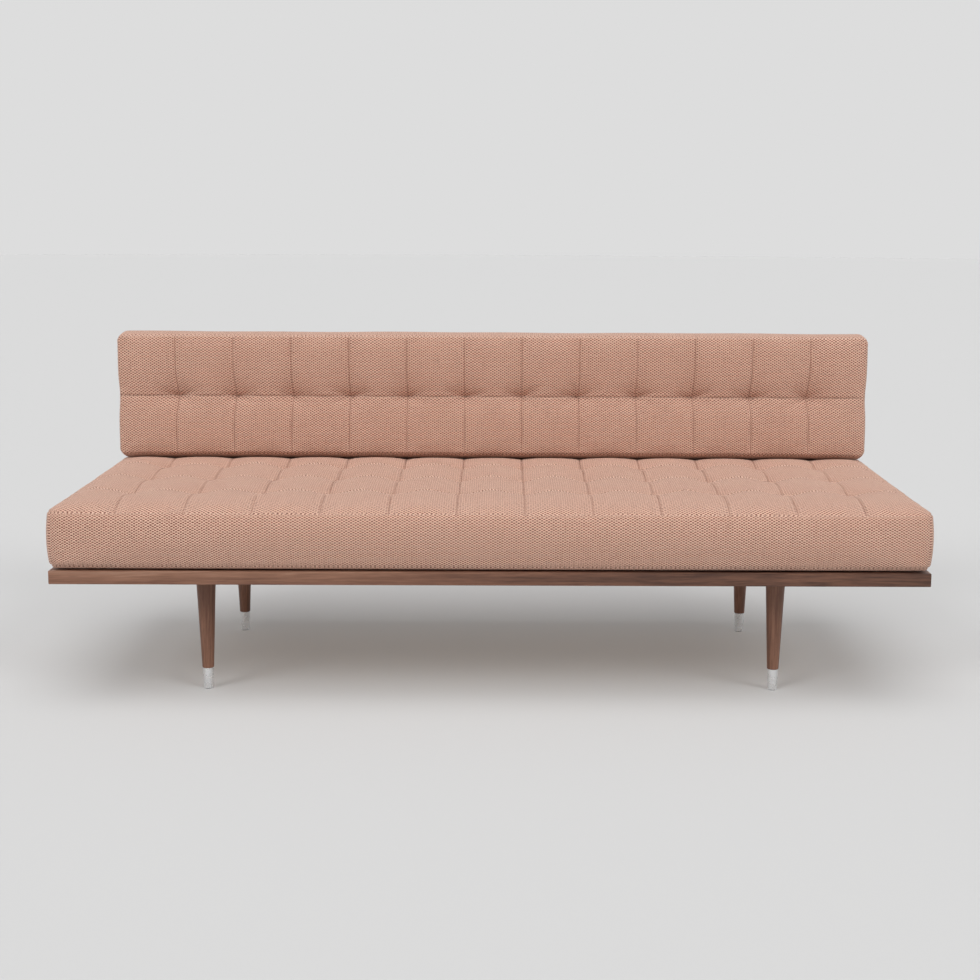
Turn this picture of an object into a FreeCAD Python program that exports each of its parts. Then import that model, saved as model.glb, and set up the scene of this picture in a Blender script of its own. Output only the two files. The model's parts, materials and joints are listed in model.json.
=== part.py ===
"""Upholstered daybed: a walnut slatted platform on four tapered legs with metal ferrules, a loose
tufted seat cushion, and a tufted back cushion that lifts off two steel brackets.

Millimetres, +Z up, +X along the daybed, -Y towards the sitter. The parts are laid out with the
platform's front face at Y = 0 and moved at the end, so that the origin is the centre of the
bounding box's base.
"""

import FreeCAD, Part
import math
import os

V = FreeCAD.Vector
X_AXIS, Y_AXIS, Z_AXIS = V(1, 0, 0), V(0, 1, 0), V(0, 0, 1)

# Driving dimensions of the whole
LENGTH = 1950.0
DEPTH = 800.0
PLATFORM_BASE = 274.0
TUFT_COLUMNS = 13
GAP = 0.05  # radial clearance of pins, dowels and screws in their holes
NEAR = 1e-3  # lengths and places closer than this count as the same

# Platform rails and the frame between them
RAIL_WIDTH = 70.0
RAIL_THICK = 30.0
RAIL_CHAMFER = 1.0
REBATE_WIDTH = 12.0
REBATE_DEPTH = 10.0
BEAM_WIDTH = 90.0
SPINE_WIDTH = 60.0
DOWEL_RADIUS = 4.0
MITRE_DOWEL_LENGTH = 30.0
MITRE_DOWEL_SHARES = (0.35, 0.65)  # across the rail's width
BEAM_DOWEL_LENGTH = 40.0

# Slats
SLAT_COUNT = 15
SLAT_WIDTH = 70.0
SLAT_END_GAP = 0.5
SLAT_CORNER = 3.0
SLAT_SCREW = {"length": 20.0, "radius": 1.75, "head_radius": 3.6}

# Legs
LEG_X = 652.5
LEG_INSET = 131.0
LEG_TOP_RADIUS = 22.8
LEG_FOOT_RADIUS = 13.4
LEG_CHAMFER = 1.2
PLATE_SIDE = 64.0
PLATE_THICK = 2.5
PLATE_CORNER = 6.0
PLATE_SCREW_INSET = 10.0
PLATE_SCREW = {"length": 15.0, "radius": 2.0, "head_radius": 4.0}
BOSS_RADIUS = 7.0
BOSS_HEIGHT = 10.0
BOSS_CLEARANCE = 0.2
BOLT_RADIUS = 4.0
BOLT_IN_LEG = 30.0
BOLT_IN_BEAM = 17.0
BOLT_TIP_GAP = 1.0

# Ferrules and floor glides
FERRULE_HEIGHT = 50.0
FERRULE_TOP_RADIUS = 12.3
FERRULE_BASE_RADIUS = 11.1
FERRULE_WALL = 1.2
FERRULE_LIFT = 1.5
FERRULE_EASE = 0.4
TENON_GAP = 0.1
GLIDE_RADIUS = 9.5
GLIDE_THICK = 6.0
GLIDE_EASE = 1.0
GLIDE_PIN_RADIUS = 1.2
GLIDE_PIN_LENGTH = 14.0
GLIDE_PIN_POINT = 1.0

# Cushions
COVER_THICK = 2.0
CUSHION_EDGE = 14.0
SEAT_DEPTH = 794.0
SEAT_THICK = 145.0
SEAT_REST_GAP = 0.3
SEAT_TUFT_ROWS = 4
TIE_RADIUS = 1.2

# Back cushion, in its own leaning frame: y from its face to its rear, z up along it
BACK_LENGTH = 1944.0
BACK_THICK = 140.0
BACK_HEIGHT = 318.0
BACK_LEAN = 5.0
BACK_FRONT_Y = 670.0
BACK_BASE_Z = 461.0
PANEL_THICK = 12.0
PANEL_MARGIN = 22.0

# Steel brackets and the sleeves that they slide into
BRACKET_X = 450.0
BAR_WIDTH = 50.0
BAR_THICK = 8.0
BAR_HEEL_RADIUS = 10.0
BAR_TIP_RADIUS = 6.0
BAR_TIP_GAP = 0.5
BAR_SCREW_OFFSET = 13.0  # to each side of the bar's middle
BAR_SCREW_INSETS = (18.0, 48.0)  # from the platform's rear face
BAR_SCREW = {"length": 32.0, "radius": 2.5, "head_radius": 5.0}
FOOT_LENGTH = 65.0
SLEEVE_CLEARANCE = 0.6
SLEEVE_WALL = 2.4
SLEEVE_BASE = 24.0
SLEEVE_LENGTH = 140.0
SLEEVE_SCREW_INSET = 14.0
SLEEVE_SCREW = {"length": 14.0, "radius": 2.0, "head_radius": 3.8}
FLANGE_SIDE = 20.0
FLANGE_MARGIN = 6.0

DECK_Z = PLATFORM_BASE + RAIL_THICK
LEDGE_Z = DECK_Z - REBATE_DEPTH
SIDES = (("left", -1), ("right", 1))
ENDS = (("front", LEG_INSET), ("rear", DEPTH - LEG_INSET))


def box(x0, y0, z0, x1, y1, z1):
    return Part.makeBox(x1 - x0, y1 - y0, z1 - z0, V(x0, y0, z0))


def rounded_box(x0, y0, z0, x1, y1, z1, radius):
    solid = box(x0, y0, z0, x1, y1, z1)
    return solid.makeFillet(radius, solid.Edges)


def edges(solid, test):
    """The solid's edges whose bounding box passes the test."""
    return [e for e in solid.Edges if test(e.BoundBox)]


def pin(centre, direction, length, radius):
    """A round pin of that length, half to each side of its centre."""
    start = centre - direction * (length / 2)
    return Part.makeCylinder(radius, length, start, direction)


def grown(pins, gap=GAP):
    """The holes for a list of (centre, direction, length, radius) pins."""
    return [pin(c, d, length, r + gap) for c, d, length, r in pins]


def screw(head, direction, length, radius, head_radius, gap=0.0):
    """A countersunk screw: head is the middle of its flat top, direction points to its tip."""
    sink = head_radius - radius
    head_cone = Part.makeCone(head_radius + gap, radius + gap, sink, head, direction)
    shank = Part.makeCylinder(radius + gap, length - sink, head + direction * sink, direction)
    return head_cone.fuse(shank).removeSplitter()


def screws(places, direction, length, radius, head_radius, gap=0.0):
    return [screw(p, direction, length, radius, head_radius, gap) for p in places]


def revolved(profile, x, y):
    """A turned solid from (radius, z) points, about the vertical axis through x, y."""
    points = [V(x + r, y, z) for r, z in profile]
    face = Part.Face(Part.makePolygon(points + points[:1]))
    return face.revolve(V(x, y, 0), Z_AXIS, 360)


# ---------------------------------------------------------------- platform


def mitred_rail(length):
    """A rail along X: outer face at y = 0, mitred at both ends, with a rebate for the slats."""
    half, w = length / 2, RAIL_WIDTH
    outline = [V(-half, 0, 0), V(half, 0, 0), V(half - w, w, 0), V(-half + w, w, 0)]
    rail = Part.Face(Part.makePolygon(outline + outline[:1])).extrude(V(0, 0, RAIL_THICK))
    outer = edges(rail, lambda b: abs(b.YMax) < NEAR and b.XLength > length - NEAR)
    rail = rail.makeChamfer(RAIL_CHAMFER, outer)
    ledge = RAIL_THICK - REBATE_DEPTH
    return rail.cut(box(-half, w - REBATE_WIDTH, ledge, half, w, RAIL_THICK))


def rails():
    front = mitred_rail(LENGTH)
    rear = front.copy()
    rear.rotate(V(0, DEPTH / 2, 0), Z_AXIS, 180)
    left = mitred_rail(DEPTH)
    right = left.copy()
    left.rotate(V(0, 0, 0), Z_AXIS, -90)
    left.translate(V(-LENGTH / 2, DEPTH / 2, 0))
    right.rotate(V(0, 0, 0), Z_AXIS, 90)
    right.translate(V(LENGTH / 2, DEPTH / 2, 0))
    made = {"rail_front": front, "rail_rear": rear, "rail_left": left, "rail_right": right}
    for rail in made.values():
        rail.translate(V(0, 0, PLATFORM_BASE))
    return made


def mitre_dowels():
    """Two dowels square to each mitre, as (centre, direction, length, radius)."""
    pins = []
    z = PLATFORM_BASE + (RAIL_THICK - REBATE_DEPTH) / 2
    for _, sx in SIDES:
        for y_corner, sy in ((0.0, 1), (DEPTH, -1)):
            for share in MITRE_DOWEL_SHARES:
                inward = RAIL_WIDTH * share
                centre = V(sx * (LENGTH / 2 - inward), y_corner + sy * inward, z)
                across = V(sx, sy, 0).normalize()
                pins.append((centre, across, MITRE_DOWEL_LENGTH, DOWEL_RADIUS))
    return pins


def beams():
    """The two cross beams that carry the legs, and the three pieces of spine between them."""
    top = LEDGE_Z
    inner = LENGTH / 2 - RAIL_WIDTH
    half_beam = BEAM_WIDTH / 2
    made = {}
    for side, sx in SIDES:
        x = sx * LEG_X
        made[f"cross_beam_{side}"] = box(
            x - half_beam, RAIL_WIDTH, PLATFORM_BASE, x + half_beam, DEPTH - RAIL_WIDTH, top
        )
        near, far = sorted((sx * (LEG_X + half_beam), sx * inner))
        made[f"spine_{side}"] = spine(near, far, top)
    made["spine_centre"] = spine(-LEG_X + half_beam, LEG_X - half_beam, top)
    return made


def spine(x0, x1, top):
    y = DEPTH / 2
    return box(x0, y - SPINE_WIDTH / 2, PLATFORM_BASE, x1, y + SPINE_WIDTH / 2, top)


def beam_dowels():
    """Dowels in the butt joints of the beams and the spine."""
    pins = []
    z = (PLATFORM_BASE + LEDGE_Z) / 2
    for _, sx in SIDES:
        for y in (RAIL_WIDTH, DEPTH - RAIL_WIDTH):
            for dx in (-BEAM_WIDTH / 4, BEAM_WIDTH / 4):
                centre = V(sx * LEG_X + dx, y, z)
                pins.append((centre, Y_AXIS, BEAM_DOWEL_LENGTH, DOWEL_RADIUS))
        for x in (LEG_X - BEAM_WIDTH / 2, LEG_X + BEAM_WIDTH / 2, LENGTH / 2 - RAIL_WIDTH):
            for dy in (-SPINE_WIDTH / 4, SPINE_WIDTH / 4):
                centre = V(sx * x, DEPTH / 2 + dy, z)
                pins.append((centre, X_AXIS, BEAM_DOWEL_LENGTH, DOWEL_RADIUS))
    return pins


def slat_centres():
    span = LENGTH - 2 * RAIL_WIDTH
    pitch = span / SLAT_COUNT
    return [-span / 2 + pitch * (i + 0.5) for i in range(SLAT_COUNT)]


def slats():
    y0 = RAIL_WIDTH - REBATE_WIDTH + SLAT_END_GAP
    made = {}
    for number, x in enumerate(slat_centres(), 1):
        half = SLAT_WIDTH / 2
        slat = box(x - half, y0, LEDGE_Z, x + half, DEPTH - y0, DECK_Z)
        upright = edges(slat, lambda b: b.ZLength > REBATE_DEPTH - NEAR)
        made[f"slat_{number:02d}"] = slat.makeFillet(SLAT_CORNER, upright)
    return made


def slat_screw_places():
    y = RAIL_WIDTH - REBATE_WIDTH / 2
    return [V(x, at, DECK_Z) for x in slat_centres() for at in (y, DEPTH - y)]


# ---------------------------------------------------------------- legs


def leg(x, y):
    """A turned taper with a tenon that the ferrule slides over, drilled for bolt and glide pin."""
    top = PLATFORM_BASE - PLATE_THICK
    tenon_top = FERRULE_TOP_RADIUS - FERRULE_WALL - TENON_GAP
    tenon_base = FERRULE_BASE_RADIUS - FERRULE_WALL - TENON_GAP
    profile = [
        (0, GLIDE_THICK),
        (tenon_base, GLIDE_THICK),
        (tenon_top, FERRULE_HEIGHT),
        (LEG_FOOT_RADIUS - LEG_CHAMFER / 2, FERRULE_HEIGHT),
        (LEG_FOOT_RADIUS, FERRULE_HEIGHT + LEG_CHAMFER),
        (LEG_TOP_RADIUS, top - LEG_CHAMFER),
        (LEG_TOP_RADIUS - LEG_CHAMFER, top),
        (0, top),
    ]
    bolt_hole = Part.makeCylinder(BOLT_RADIUS + GAP, BOLT_IN_LEG, V(x, y, top - BOLT_IN_LEG))
    pin_hole = Part.makeCylinder(GLIDE_PIN_RADIUS + GAP, GLIDE_PIN_LENGTH, V(x, y, GLIDE_THICK))
    return revolved(profile, x, y).cut(bolt_hole).cut(pin_hole)


def ferrule(x, y):
    """A tapered metal tube, open at the base for the glide."""
    top, base, wall, ease = FERRULE_TOP_RADIUS, FERRULE_BASE_RADIUS, FERRULE_WALL, FERRULE_EASE
    profile = [
        (base - wall, FERRULE_LIFT),
        (base - ease, FERRULE_LIFT),
        (base, FERRULE_LIFT + ease),
        (top, FERRULE_HEIGHT - ease),
        (top - ease, FERRULE_HEIGHT),
        (top - wall, FERRULE_HEIGHT),
    ]
    return revolved(profile, x, y)


def glide(x, y):
    """A nylon disc with a pin that is driven into the leg's tenon."""
    tip = GLIDE_THICK + GLIDE_PIN_LENGTH
    profile = [
        (0, 0),
        (GLIDE_RADIUS - GLIDE_EASE, 0),
        (GLIDE_RADIUS, GLIDE_EASE),
        (GLIDE_RADIUS, GLIDE_THICK),
        (GLIDE_PIN_RADIUS, GLIDE_THICK),
        (GLIDE_PIN_RADIUS, tip - GLIDE_PIN_POINT),
        (0, tip),
    ]
    return revolved(profile, x, y)


def leg_plate(x, y):
    """A square steel plate with a threaded boss, which is let into the beam above."""
    half = PLATE_SIDE / 2
    base = PLATFORM_BASE - PLATE_THICK
    plate = box(x - half, y - half, base, x + half, y + half, PLATFORM_BASE)
    upright = edges(plate, lambda b: b.ZLength > PLATE_THICK - NEAR)
    plate = plate.makeFillet(PLATE_CORNER, upright)
    boss = Part.makeCylinder(BOSS_RADIUS, BOSS_HEIGHT + PLATE_THICK, V(x, y, base))
    bore = Part.makeCylinder(BOLT_RADIUS + GAP, BOSS_HEIGHT + PLATE_THICK, V(x, y, base))
    return plate.fuse(boss).removeSplitter().cut(bore)


def plate_screw_places(x, y):
    offset = PLATE_SIDE / 2 - PLATE_SCREW_INSET
    z = PLATFORM_BASE - PLATE_THICK
    return [V(x + dx, y + dy, z) for dx in (-offset, offset) for dy in (-offset, offset)]


def hanger_bolt(x, y):
    low = PLATFORM_BASE - PLATE_THICK - BOLT_IN_LEG + BOLT_TIP_GAP
    high = PLATFORM_BASE + BOLT_IN_BEAM
    return Part.makeCylinder(BOLT_RADIUS, high - low, V(x, y, low))


# ---------------------------------------------------------------- back cushion's leaning frame


def leaned(shape):
    """Moves a shape from the back cushion's own frame to where the cushion stands."""
    shape = shape.copy()
    shape.rotate(V(0, 0, 0), X_AXIS, -BACK_LEAN)
    shape.translate(V(0, BACK_FRONT_Y, BACK_BASE_Z))
    return shape


def cover_and_core(x0, y0, z0, x1, y1, z1):
    """The sewn cover as a closed skin, and the space inside it."""
    t = COVER_THICK
    outer = rounded_box(x0, y0, z0, x1, y1, z1, CUSHION_EDGE)
    inner = (x0 + t, y0 + t, z0 + t, x1 - t, y1 - t, z1 - t)
    core = rounded_box(*inner, CUSHION_EDGE - t)
    return outer.cut(core), core


def column_places(length):
    pitch = length / TUFT_COLUMNS
    return [-length / 2 + pitch * i for i in range(1, TUFT_COLUMNS)]


def seat_ties():
    low = DECK_Z + SEAT_REST_GAP + COVER_THICK
    long = SEAT_THICK - 2 * COVER_THICK
    pitch = SEAT_DEPTH / SEAT_TUFT_ROWS
    return [
        (V(x, pitch * row, low + long / 2), Z_AXIS, long, TIE_RADIUS)
        for x in column_places(LENGTH)
        for row in range(1, SEAT_TUFT_ROWS)
    ]


def seat_cushion():
    low = DECK_Z + SEAT_REST_GAP
    half = LENGTH / 2
    cover, core = cover_and_core(-half, 0, low, half, SEAT_DEPTH, low + SEAT_THICK)
    ties = seat_ties()
    return {
        "seat_cover": cover,
        "seat_foam": core.cut(grown(ties)),
        "seat_tuft_ties": Part.makeCompound([pin(*t) for t in ties]),
    }


def back_ties():
    long = BACK_THICK - 2 * COVER_THICK
    return [
        (V(x, BACK_THICK / 2, BACK_HEIGHT / 2), Y_AXIS, long, TIE_RADIUS)
        for x in column_places(BACK_LENGTH)
    ]


def sleeve_screw_places(x):
    y = BACK_THICK + SLEEVE_WALL
    dx = BAR_WIDTH / 2 + SLEEVE_WALL + FLANGE_SIDE / 2
    low = SLEEVE_BASE + SLEEVE_SCREW_INSET
    high = SLEEVE_BASE + SLEEVE_LENGTH - SLEEVE_SCREW_INSET
    return [V(x + s * dx, y, z) for s in (-1, 1) for z in (low, high)]


def back_cushion():
    half = BACK_LENGTH / 2
    cover, core = cover_and_core(-half, 0, 0, half, BACK_THICK, BACK_HEIGHT)
    rear = BACK_THICK - COVER_THICK
    m = PANEL_MARGIN
    panel = box(-half + m, rear - PANEL_THICK, m, half - m, rear, BACK_HEIGHT - m)
    ties = back_ties()
    foam = core.cut(panel).cut(grown(ties))
    places = [p for _, sx in SIDES for p in sleeve_screw_places(sx * BRACKET_X)]
    holes = screws(places, -Y_AXIS, gap=GAP, **SLEEVE_SCREW)
    made = {
        "back_cover": cover.cut(holes),
        "back_foam": foam,
        "back_panel": panel.cut(grown(ties)).cut(holes),
        "back_tuft_ties": Part.makeCompound([pin(*t) for t in ties]),
        "sleeve_screws": Part.makeCompound(screws(places, -Y_AXIS, **SLEEVE_SCREW)),
    }
    for side, sx in SIDES:
        made[f"bracket_sleeve_{side}"] = sleeve(sx * BRACKET_X).cut(holes)
    return {name: leaned(shape) for name, shape in made.items()}


def sleeve(x):
    """A flat steel pocket, closed at the top, on a plate that is screwed to the back's panel."""
    wall, slack = SLEEVE_WALL, SLEEVE_CLEARANCE
    inner_half = BAR_WIDTH / 2 + slack
    outer_half = inner_half + wall
    near = BACK_THICK + wall
    far = near + BAR_THICK + 2 * slack
    low, high = SLEEVE_BASE, SLEEVE_BASE + SLEEVE_LENGTH
    plate_half = outer_half + FLANGE_SIDE
    plate = box(
        x - plate_half, BACK_THICK, low - FLANGE_MARGIN, x + plate_half, near, high + FLANGE_MARGIN
    )
    corners = edges(plate, lambda b: b.YLength > wall - NEAR)
    plate = plate.makeFillet(PLATE_CORNER, corners)
    shell = box(x - outer_half, near, low, x + outer_half, far + wall, high)
    pocket = box(x - inner_half, near, low, x + inner_half, far, high - wall)
    return plate.fuse(shell).removeSplitter().cut(pocket)


def back_bracket(x):
    """A flat bar bent under the rear rail, up behind the seat, and back with the cushion."""
    lean = math.radians(BACK_LEAN)
    bar_y = BACK_THICK + SLEEVE_WALL + SLEEVE_CLEARANCE  # the bar's front, in the leaning frame
    bend_z = BACK_BASE_Z - (bar_y - (DEPTH - BACK_FRONT_Y) * math.cos(lean)) / math.sin(lean)
    tip = SLEEVE_BASE + SLEEVE_LENGTH - SLEEVE_WALL - BAR_TIP_GAP
    front_tip = V(
        0,
        BACK_FRONT_Y + bar_y * math.cos(lean) + tip * math.sin(lean),
        BACK_BASE_Z - bar_y * math.sin(lean) + tip * math.cos(lean),
    )
    rear_tip = front_tip + V(0, math.cos(lean), -math.sin(lean)) * BAR_THICK
    rear_bend = V(0, DEPTH + BAR_THICK, bend_z - BAR_THICK * math.tan(lean / 2))
    low = PLATFORM_BASE - BAR_THICK
    outline = [
        V(0, DEPTH - FOOT_LENGTH, low),
        V(0, DEPTH + BAR_THICK, low),
        rear_bend,
        rear_tip,
        front_tip,
        V(0, DEPTH, bend_z),
        V(0, DEPTH, PLATFORM_BASE),
        V(0, DEPTH - FOOT_LENGTH, PLATFORM_BASE),
    ]
    bar = Part.Face(Part.makePolygon(outline + outline[:1])).extrude(V(BAR_WIDTH, 0, 0))
    bar = bar.makeFillet(BAR_HEEL_RADIUS, edges(bar, lambda b: is_heel(b, low)))
    tips = edges(bar, lambda b: b.XLength < NEAR and b.ZMin > rear_tip.z - NEAR)
    bar = bar.makeFillet(BAR_TIP_RADIUS, tips)
    bar.translate(V(x - BAR_WIDTH / 2, 0, 0))
    return bar


def is_heel(bound, low):
    """Whether an edge's bounding box is that of the bar's outer corner, under the rail."""
    whole_width = bound.XLength > BAR_WIDTH - NEAR
    at_rear = abs(bound.YMax - DEPTH - BAR_THICK) < NEAR
    return whole_width and at_rear and abs(bound.ZMax - low) < NEAR


def bracket_screw_places(x):
    low = PLATFORM_BASE - BAR_THICK
    offsets = (-BAR_SCREW_OFFSET, BAR_SCREW_OFFSET)
    return [V(x + dx, DEPTH - inset, low) for dx in offsets for inset in BAR_SCREW_INSETS]


# ---------------------------------------------------------------- the whole


def platform():
    made = rails()
    made.update(beams())
    made.update(slats())
    corner = mitre_dowels()
    inner = beam_dowels()
    made["corner_dowels"] = Part.makeCompound([pin(*p) for p in corner])
    made["beam_dowels"] = Part.makeCompound([pin(*p) for p in inner])

    slat_places = slat_screw_places()
    slat_holes = screws(slat_places, -Z_AXIS, gap=GAP, **SLAT_SCREW)
    made["slat_screws"] = Part.makeCompound(screws(slat_places, -Z_AXIS, **SLAT_SCREW))

    plate_places, bolts = [], []
    for side, sx in SIDES:
        for end, y in ENDS:
            x = sx * LEG_X
            made[f"leg_{end}_{side}"] = leg(x, y)
            made[f"ferrule_{end}_{side}"] = ferrule(x, y)
            made[f"glide_{end}_{side}"] = glide(x, y)
            places = plate_screw_places(x, y)
            holes = screws(places, Z_AXIS, gap=GAP, **PLATE_SCREW)
            made[f"leg_plate_{end}_{side}"] = leg_plate(x, y).cut(holes)
            plate_places += places
            bolts.append(hanger_bolt(x, y))
    bar_places = [p for _, sx in SIDES for p in bracket_screw_places(sx * BRACKET_X)]
    bar_holes = screws(bar_places, Z_AXIS, gap=GAP, **BAR_SCREW)
    for side, sx in SIDES:
        made[f"back_bracket_{side}"] = back_bracket(sx * BRACKET_X).cut(bar_holes)
    made["leg_plate_screws"] = Part.makeCompound(screws(plate_places, Z_AXIS, **PLATE_SCREW))
    made["bracket_screws"] = Part.makeCompound(screws(bar_places, Z_AXIS, **BAR_SCREW))
    made["hanger_bolts"] = Part.makeCompound(bolts)

    drill(made, "rail_", grown(corner + inner) + slat_holes)
    drill(made, "rail_rear", bar_holes)
    drill(made, "slat_", slat_holes, but="slat_screws")
    drill(made, "spine_", grown(inner))
    hole_radius, hole_depth = BOSS_RADIUS + BOSS_CLEARANCE, BOLT_IN_BEAM + BOLT_TIP_GAP
    boss_holes = [
        Part.makeCylinder(hole_radius, hole_depth, V(x, y, PLATFORM_BASE))
        for x in (-LEG_X, LEG_X)
        for _, y in ENDS
    ]
    plate_holes = screws(plate_places, Z_AXIS, gap=GAP, **PLATE_SCREW)
    drill(made, "cross_beam_", grown(inner) + boss_holes + plate_holes)
    return made


def drill(made, prefix, holes, but=None):
    """Cuts, from every part whose name starts with prefix, the holes that reach it."""
    for name in [n for n in made if n.startswith(prefix) and n != but]:
        near = [h for h in holes if h.BoundBox.intersect(made[name].BoundBox)]
        if near:
            made[name] = made[name].cut(near)


def centred(parts):
    """The parts moved so that the origin is the centre of the bounding box's base."""
    whole = FreeCAD.BoundBox()
    for shape in parts.values():
        whole.add(shape.optimalBoundingBox(False, False))
    shift = V(-whole.Center.x, -whole.Center.y, -whole.ZMin)
    for shape in parts.values():
        shape.translate(shift)
    print(f"size {whole.XLength:.2f} x {whole.YLength:.2f} x {whole.ZLength:.2f} mm")
    print(f"front face of the platform at y = {shift.y:.3f} mm")
    return parts


def main():
    parts = platform()
    parts.update(seat_cushion())
    parts.update(back_cushion())
    os.makedirs("parts", exist_ok=True)
    for name, shape in centred(parts).items():
        if not shape.isValid() or not shape.Solids:
            raise ValueError(f"{name} is not a valid solid")
        shape.exportStep(f"parts/{name}.step")
    print(f"{len(parts)} parts")


main()
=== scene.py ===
"""The daybed's looks, around the CAD frame: cushions filled as cloth, walnut, aluminium and steel.

Metres, in the CAD model's own frame: +X along the daybed, -Y towards the sitter, +Z up.
"""

import json
import math

import bpy
import numpy as np
from mathutils import Matrix, Vector


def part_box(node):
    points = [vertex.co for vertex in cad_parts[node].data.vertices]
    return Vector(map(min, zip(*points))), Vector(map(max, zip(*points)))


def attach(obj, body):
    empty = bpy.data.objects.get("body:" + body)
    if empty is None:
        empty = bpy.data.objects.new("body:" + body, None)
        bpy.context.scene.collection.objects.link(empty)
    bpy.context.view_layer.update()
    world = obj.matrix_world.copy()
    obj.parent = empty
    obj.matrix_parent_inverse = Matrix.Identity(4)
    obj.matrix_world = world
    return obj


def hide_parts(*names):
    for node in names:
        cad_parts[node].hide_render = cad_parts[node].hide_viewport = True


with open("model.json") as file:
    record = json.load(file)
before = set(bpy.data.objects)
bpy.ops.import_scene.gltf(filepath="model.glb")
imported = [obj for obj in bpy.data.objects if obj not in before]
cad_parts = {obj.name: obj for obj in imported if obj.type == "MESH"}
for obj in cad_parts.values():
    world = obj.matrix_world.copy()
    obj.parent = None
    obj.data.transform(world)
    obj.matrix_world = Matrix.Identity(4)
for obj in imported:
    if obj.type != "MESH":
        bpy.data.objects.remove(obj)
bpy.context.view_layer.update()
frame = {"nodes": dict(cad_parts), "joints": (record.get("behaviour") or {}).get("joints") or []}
MM = 0.001
WEAVE_MAP = "weave"  # UV map in metres along the fabric's threads
SEAM_MAP = "seams"  # UV map: distance to a column seam in metres, and to another seam in lips
NO_SEAM = 1.0  # the distance given to a vertex that has no such seam near it

# ------------------------------------------------------------------ shader tools


def srgb(code):
    """Linear RGBA of a colour written as rrggbb."""
    channels = [int(code[i : i + 2], 16) / 255 for i in (0, 2, 4)]
    linear = [c / 12.92 if c <= 0.04045 else ((c + 0.055) / 1.055) ** 2.4 for c in channels]
    return (*linear, 1.0)


class Shader:
    """A Principled material, with short calls that add nodes to it."""

    def __init__(self, name):
        self.material = bpy.data.materials.new(name)
        self.material.use_nodes = True
        self.tree = self.material.node_tree
        self.surface = self.tree.nodes["Principled BSDF"]

    def put(self, socket, value):
        if isinstance(value, bpy.types.NodeSocket):
            self.tree.links.new(value, socket)
        else:
            socket.default_value = value

    def set(self, **sockets):
        for name, value in sockets.items():
            self.put(self.surface.inputs[name.replace("_", " ")], value)

    def node(self, kind, inputs=None, **settings):
        made = self.tree.nodes.new("ShaderNode" + kind)
        for name, value in settings.items():
            setattr(made, name, value)
        for name, value in (inputs or {}).items():
            self.put(made.inputs[name], value)
        return made

    def math(self, operation, a, b=0.0):
        return self.node("Math", {0: a, 1: b}, operation=operation).outputs[0]

    def vector(self, operation, a, b):
        return self.node("VectorMath", {0: a, 1: b}, operation=operation).outputs[0]

    def scaled(self, vector, scale, offset=(0, 0, 0)):
        inputs = {"Vector": vector, "Scale": scale, "Location": offset}
        return self.node("Mapping", inputs).outputs[0]

    def noise(self, vector, scale, detail=2.0, roughness=0.5, distortion=0.0, output="Fac"):
        inputs = {"Vector": vector, "Scale": scale, "Detail": detail, "Roughness": roughness}
        inputs["Distortion"] = distortion
        return self.node("TexNoise", inputs).outputs[output]

    def step(self, value, low, high, to_low=0.0, to_high=1.0):
        inputs = {"Value": value, "From Min": low, "From Max": high}
        inputs.update({"To Min": to_low, "To Max": to_high})
        return self.node("MapRange", inputs, interpolation_type="SMOOTHSTEP").outputs[0]

    def mix(self, factor, a, b, blend="MIX"):
        made = self.node("Mix", data_type="RGBA", blend_type=blend)
        self.put(made.inputs[0], factor)
        self.put(made.inputs[6], a)
        self.put(made.inputs[7], b)
        return made.outputs[2]

    def ramp(self, factor, stops):
        made = self.node("ValToRGB", {"Fac": factor})
        elements = made.color_ramp.elements
        while len(elements) < len(stops):
            elements.new(0.5)
        for element, (place, colour) in zip(elements, stops):
            element.position = place
            element.color = colour
        return made.outputs[0]

    def bump(self, height, distance, strength):
        inputs = {"Height": height, "Distance": distance, "Strength": strength}
        return self.node("Bump", inputs).outputs[0]

    def wander(self, vector, scale, detail, reach):
        """The vector, moved at random by up to half of reach on each of its axes."""
        noise = self.noise(vector, scale, detail, output="Color")
        centred = self.vector("SUBTRACT", noise, (0.5, 0.5, 0.5))
        return self.vector("ADD", vector, self.vector("MULTIPLY", centred, reach))

    def place(self):
        """Position in the object's own space, which is the CAD frame, in metres."""
        return self.node("TexCoord").outputs["Object"]


# ------------------------------------------------------------------ materials

WEAVE_CELL = (5.1 * MM, 3.35 * MM)
STRAND_PITCH = 1.3 * MM
STITCH_PITCH = 7.3 * MM
YARN_WANDER = (2.2 * MM, 2.2 * MM, 0)
PALE_YARN = srgb("c89880"), srgb("f1d1be")
DARK_YARN = srgb("522318"), srgb("753c2c")
# stitch dots, dark and pale: the pale dots are a painted highlight on the seam's lit crest
STITCHES_AND_HIGHLIGHT = srgb("7a4838"), srgb("e6c8b5")
CLOUDED = srgb("b27c66")
STREAKED = srgb("8a5f4e")
SEAM_SHADE = srgb("7a4230")


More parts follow.
